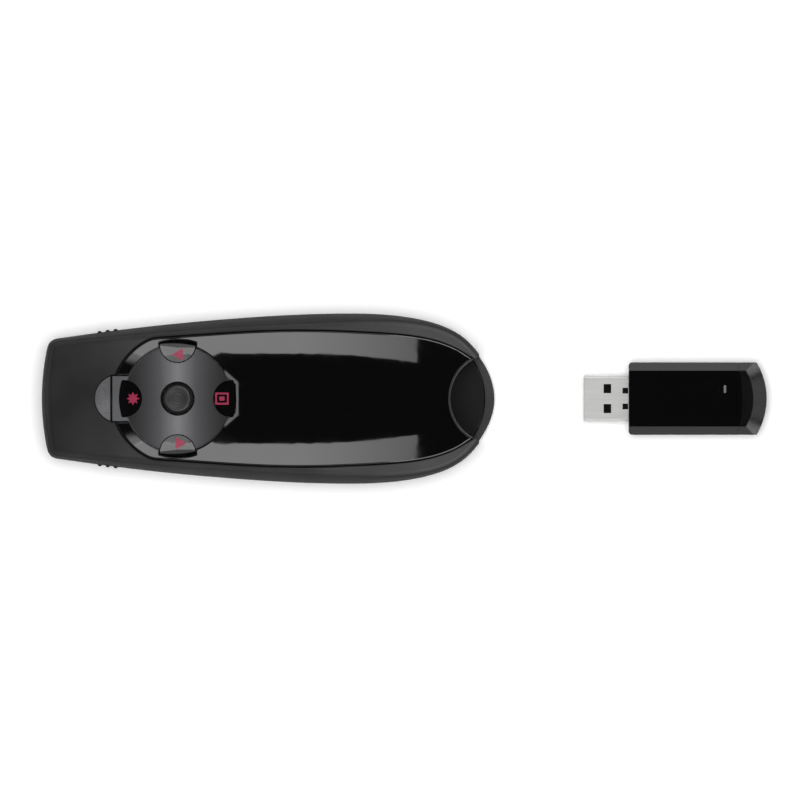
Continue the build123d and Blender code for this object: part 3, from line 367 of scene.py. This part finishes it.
def arrow(icon, way):
    """Triangle that points along X, one way or the other."""
    made = bmesh.ops.create_circle(icon, cap_ends=True, segments=3, radius=arrow_radius)
    turn = Matrix.Rotation(-way * pi / 2, 3, "Z")
    bmesh.ops.rotate(icon, verts=made["verts"], cent=(0, 0, 0), matrix=turn)
    round_corners(icon, made["verts"])


def burst(icon):
    """Star of rays."""
    made = bmesh.ops.create_circle(icon, cap_ends=True, segments=2 * burst_rays,
                                   radius=burst_radius)
    inner = [vertex for vertex in made["verts"] if vertex.index % 2]
    bmesh.ops.scale(icon, verts=inner, vec=(burst_waist, burst_waist, 1))


def rounded(icon, width, height):
    """Rounded rectangle about the middle, made from a square of side 1; gives back its face."""
    made = bmesh.ops.create_grid(icon, x_segments=1, y_segments=1, size=0.5)
    bmesh.ops.scale(icon, verts=made["verts"], vec=(width, height, 1))
    round_corners(icon, made["verts"])
    icon.faces.ensure_lookup_table()
    return icon.faces[-1]


def screen(icon):
    """Rounded frame with a smaller panel inside it."""
    for width, height in screen_rim:
        bmesh.ops.delete(icon, geom=[rounded(icon, width, height)], context="FACES_ONLY")
    bmesh.ops.bridge_loops(icon, edges=icon.edges[:])
    rounded(icon, *screen_panel)


def print_on(key, draw, reach, angle, **settings):
    """Prints an icon on a key, at a reach and angle from the pad's middle."""
    icon = bmesh.new()
    draw(icon, **settings)
    bmesh.ops.triangulate(icon, faces=icon.faces[:])
    bmesh.ops.subdivide_edges(icon, edges=icon.edges[:], cuts=2, use_grid_fill=True)
    spot = Vector((pad_middle + reach * cos(radians(angle)), reach * sin(radians(angle)), 0))
    bmesh.ops.translate(icon, verts=icon.verts[:], vec=spot)
    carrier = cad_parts["key_" + key].data
    top = BVHTree.FromPolygons([vertex.co for vertex in carrier.vertices],
                               [face.vertices[:] for face in carrier.polygons])
    for vertex in icon.verts:
        above = Vector((vertex.co.x, vertex.co.y, above_all))
        vertex.co.z = top.ray_cast(above, Vector((0, 0, -1)))[0].z + film_proud
    bmesh.ops.recalc_face_normals(icon, faces=icon.faces[:])
    bmesh.ops.solidify(icon, geom=icon.faces[:], thickness=film)
    bmesh.ops.recalc_face_normals(icon, faces=icon.faces[:])
    data = bpy.data.meshes.new("icon_" + key)
    icon.to_mesh(data)
    icon.free()
    data.materials.append(ink)
    piece = bpy.data.objects.new("icon_" + key, data)
    bpy.context.scene.collection.objects.link(piece)
    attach(piece, "key_" + key)


print_on("back", arrow, back_reach, angle=88, way=-1)
print_on("forward", arrow, icon_reach, angle=272, way=1)
print_on("laser", burst, icon_reach, angle=180)
print_on("blank", screen, icon_reach, angle=0)

# ---------------------------------------------------------------- status window
# The crescent is a smoked polycarbonate lens, snapped into the nose over the status lamp.
# The lamp is a small epoxy-cast diode on the board, and the receiver has one like it.

# Smoked polycarbonate, frosted inside: a flat grey, lightened with a painted reflection, so that
# it is lighter than the nose round it.
smoke_and_painted_reflection = moulded("smoked polycarbonate", "#5e5e60", roughness=0.3, grain=0.5, depth=0.004)
paint(smoke_and_painted_reflection, "status_window")

# Cast epoxy of the lamps: milky grey from the diffuser in it.
milky = moulded("milky epoxy lens", "#6c6c69", roughness=0.25, grain=0.5, depth=0.002)
paint(milky, "status_led", "receiver_led")

# ---------------------------------------------------------------- joystick nub
# The nub is moulded rubber, with rings in its dish for the fingertip.
# It is pressed over the top of the stick, and its skin is a dull, dark grey.
nub_rubber = moulded("moulded rubber", "#2a2a2b", roughness=0.45, grain=0.35, depth=0.012)
paint(nub_rubber, "joystick_cap")

# ---------------------------------------------------------------- screws
# The case screws are cold-headed steel, driven from below.
# Blackening leaves them dark, with an oily shine.
black_steel = moulded("blackened steel", "#232323", roughness=0.35, grain=0.2, depth=0.006)
paint(black_steel, "case_screws")

# ---------------------------------------------------------------- receiver
# The receiver's two polished halves are snapped together round its board.
# The cap at its end is a separate moulding, and the plug's tongue carries four contacts.

# Lightly grained ABS of the cap: black, with a broad, weak shine.
cap_abs = moulded("black ABS, light grain", "#0c0c0d", roughness=0.17, grain=0.4, depth=0.003)
paint(cap_abs, "receiver_cap", "usb_tongue")

# Gold plating of the contacts, thin over nickel: a satin yellow.
gold = moulded("gold plating", "#d8b25e", roughness=0.3, grain=0.3, depth=0.002)
paint(gold, "usb_contacts")

# ---------------------------------------------------------------- plug
# The plug is sheet steel, folded to a box with its seam on the underside.
# It is held between the receiver's halves.

# Satin nickel: pale and soft, with lines along the plug from the drawing of the sheet.
# The real lines are finer; they are drawn 0.4 mm apart so that they show.
sheet_grain = (150.0, 2500.0, 2500.0)
plated, tree, place = material("satin nickel on sheet steel")
stretch = add(tree, "ShaderNodeMapping", {"Vector": place, "Scale": sheet_grain})
drawn = add(tree, "ShaderNodeTexNoise", {"Vector": stretch.outputs["Vector"], "Scale": 1.0,
                                         "Detail": 3.0})
dull = add(tree, "ShaderNodeMapRange", {"Value": drawn.outputs["Fac"], **noise_span,
                                        "To Min": 0.42, "To Max": 0.5})
tone = add(tree, "ShaderNodeMapRange", {"Value": drawn.outputs["Fac"], **noise_span,
                                        "To Min": 0.94, "To Max": 1.04})
surface(tree, {"Base Color": tinted(tree, "#c8c8c6", tone.outputs["Result"]), "Metallic": 0.5,
               "Roughness": dull.outputs["Result"]})
paint(plated, "usb_shell")

# ---------------------------------------------------------------- table
# A white laminate table lies under both pieces.
# It is lit a little past white, so that only the narrow contact shadow shows on it.
table_reach = 3.0
table_drop = 0.00005
table_lift = 0.19
table_mesh = bmesh.new()
bmesh.ops.create_grid(table_mesh, x_segments=1, y_segments=1, size=table_reach)
table_data = bpy.data.meshes.new("table")
table_mesh.to_mesh(table_data)
table_mesh.free()
table = bpy.data.objects.new("table", table_data)
bpy.context.scene.collection.objects.link(table)
table.location.z = -table_drop

# White laminate: flat and even. Seen directly, in a gloss or through clear plastic, it is
# lifted to white; the light that it throws on the pieces is that of the laminate alone.
white_table, tree = material("white laminate")[:2]
seen = add(tree, "ShaderNodeLightPath")
eye_or_gloss = add(tree, "ShaderNodeMath", {0: seen.outputs["Is Camera Ray"],
                                            1: seen.outputs["Is Glossy Ray"]}, operation="MAXIMUM")
direct = add(tree, "ShaderNodeMath", {0: eye_or_gloss.outputs["Value"],
                                      1: seen.outputs["Is Transmission Ray"]}, operation="MAXIMUM")
shade = add(tree, "ShaderNodeBsdfDiffuse", {"Color": linear("#f4f4f4")})
lift = add(tree, "ShaderNodeEmission", {"Color": linear("#ffffff"), "Strength": table_lift})
both = add(tree, "ShaderNodeAddShader", {0: shade.outputs["BSDF"], 1: lift.outputs["Emission"]})
choice = add(tree, "ShaderNodeMixShader", {0: direct.outputs["Value"], 1: shade.outputs["BSDF"],
                                           2: both.outputs["Shader"]})
add(tree, "ShaderNodeOutputMaterial", {"Surface": choice.outputs["Shader"]})
table_data.materials.append(white_table)

# ---------------------------------------------------------------- studio
# A dark canopy hangs over the table and the room beyond it is white.
# What is glossy mirrors the canopy, so its tops stay black.

# Angles from straight up: the canopy ends at the first and is quite dark within the second.
canopy_edge = radians(84)
canopy_dark = radians(64)
room_level = 0.8
canopy_level = 0.02
world = bpy.data.worlds.new("studio")
world.use_nodes = True
world.node_tree.nodes.clear()
world.cycles.sampling_method = "NONE"
tree = world.node_tree
toward = add(tree, "ShaderNodeTexCoord").outputs["Generated"]
height = add(tree, "ShaderNodeSeparateXYZ", {"Vector": toward}).outputs["Z"]
canopy = add(tree, "ShaderNodeMapRange", {"Value": height, "From Min": cos(canopy_edge),
                                          "From Max": cos(canopy_dark), "To Min": room_level,
                                          "To Max": canopy_level})
seen = add(tree, "ShaderNodeLightPath")
level = add(tree, "ShaderNodeMix", {"Factor": seen.outputs["Is Camera Ray"],
                                    "A": canopy.outputs["Result"], "B": 1.0}, data_type="FLOAT")
room = add(tree, "ShaderNodeBackground", {"Color": linear("#ffffff"),
                                          "Strength": level.outputs["Result"]})
add(tree, "ShaderNodeOutputWorld", {"Surface": room.outputs["Background"]})
bpy.context.scene.world = world

# ---------------------------------------------------------------- lamps
# Two long strip lamps run beside the clicker; the glossy cover mirrors each as a band.
# Small cards light the keys, the tail's corners, the receiver's bevels and its cap.
# A soft lamp overhead gives the plain light and the narrow contact shadow.
lamp_aim = Vector((0.02, 0, 0.02))


def soft_lamp(name, tilt_x, tilt_y, size, radiance, plain=False, mirrored=True, far_end=1.0):
    """Area lamp a metre away, tilted from the vertical in degrees, with its size along X and Y.

    A plain lamp lights matt surfaces, and a mirrored one shows in glossy ones. Past its middle
    its radiance falls to the share that far_end gives.
    """
    data = bpy.data.lights.new(name, "AREA")
    data.shape = "RECTANGLE"
    data.size, data.size_y = size
    data.energy = radiance * pi * size[0] * size[1]
    slope_x = radians(tilt_x)
    slope_y = radians(tilt_y)
    away = Vector((sin(slope_x), sin(slope_y), cos(slope_x) * cos(slope_y))).normalized()
    across = away.cross(Vector((1, 0, 0))).normalized()
    along = across.cross(away).normalized()
    lamp = bpy.data.objects.new(name, data)
    bpy.context.scene.collection.objects.link(lamp)
    lamp.location = away + lamp_aim
    lamp.rotation_euler = Matrix((along, across, away)).transposed().to_euler()
    lamp.visible_camera = False
    lamp.visible_glossy = mirrored
    lamp.visible_diffuse = plain
    if far_end < 1:
        data.use_nodes = True
        tree = data.node_tree
        tree.nodes.clear()
        spot = add(tree, "ShaderNodeNewGeometry").outputs["Parametric"]
        share = add(tree, "ShaderNodeSeparateXYZ", {"Vector": spot}).outputs["X"]
        fade = add(tree, "ShaderNodeMapRange", {"Value": share, "From Min": 0.4, "To Min": 1.0,
                                                "To Max": far_end})
        glow = add(tree, "ShaderNodeEmission", {"Strength": fade.outputs["Result"]})
        add(tree, "ShaderNodeOutputLight", {"Surface": glow.outputs["Emission"]})


for side in (1, -1):
    soft_lamp("strip_lamp", tilt_x=3.0, tilt_y=side * 30.8, size=(0.8, 0.252), radiance=4.6,
              far_end=0.55)
    soft_lamp("key_card", tilt_x=-12.6, tilt_y=side * 21.0, size=(0.095, 0.09), radiance=3.2)
    soft_lamp("tail_card", tilt_x=46, tilt_y=side * 55, size=(0.8, 0.7), radiance=3.6)
    soft_lamp("bevel_card", tilt_x=8, tilt_y=side * 72.4, size=(0.5, 0.22),
              radiance=1.0 + side * 0.22)
soft_lamp("cap_card", tilt_x=59, tilt_y=0, size=(0.2, 0.5), radiance=1.3)
soft_lamp("overhead_lamp", tilt_x=0, tilt_y=0, size=(0.5, 0.5), radiance=13.0, plain=True,
          mirrored=False)

# ---------------------------------------------------------------- camera
# A long lens looks straight down from 1.8 m over the middle of the two pieces.
# So far away, the sides of the clicker hardly show.
camera_place = (0.0347, -0.00037, 1.773)
camera_data = bpy.data.cameras.new("camera")
camera_data.lens = 300.0
camera_data.sensor_width = 36.0
camera = bpy.data.objects.new("camera", camera_data)
bpy.context.scene.collection.objects.link(camera)
camera.location = camera_place
bpy.context.scene.camera = camera
bpy.context.scene.view_settings.view_transform = "Standard"
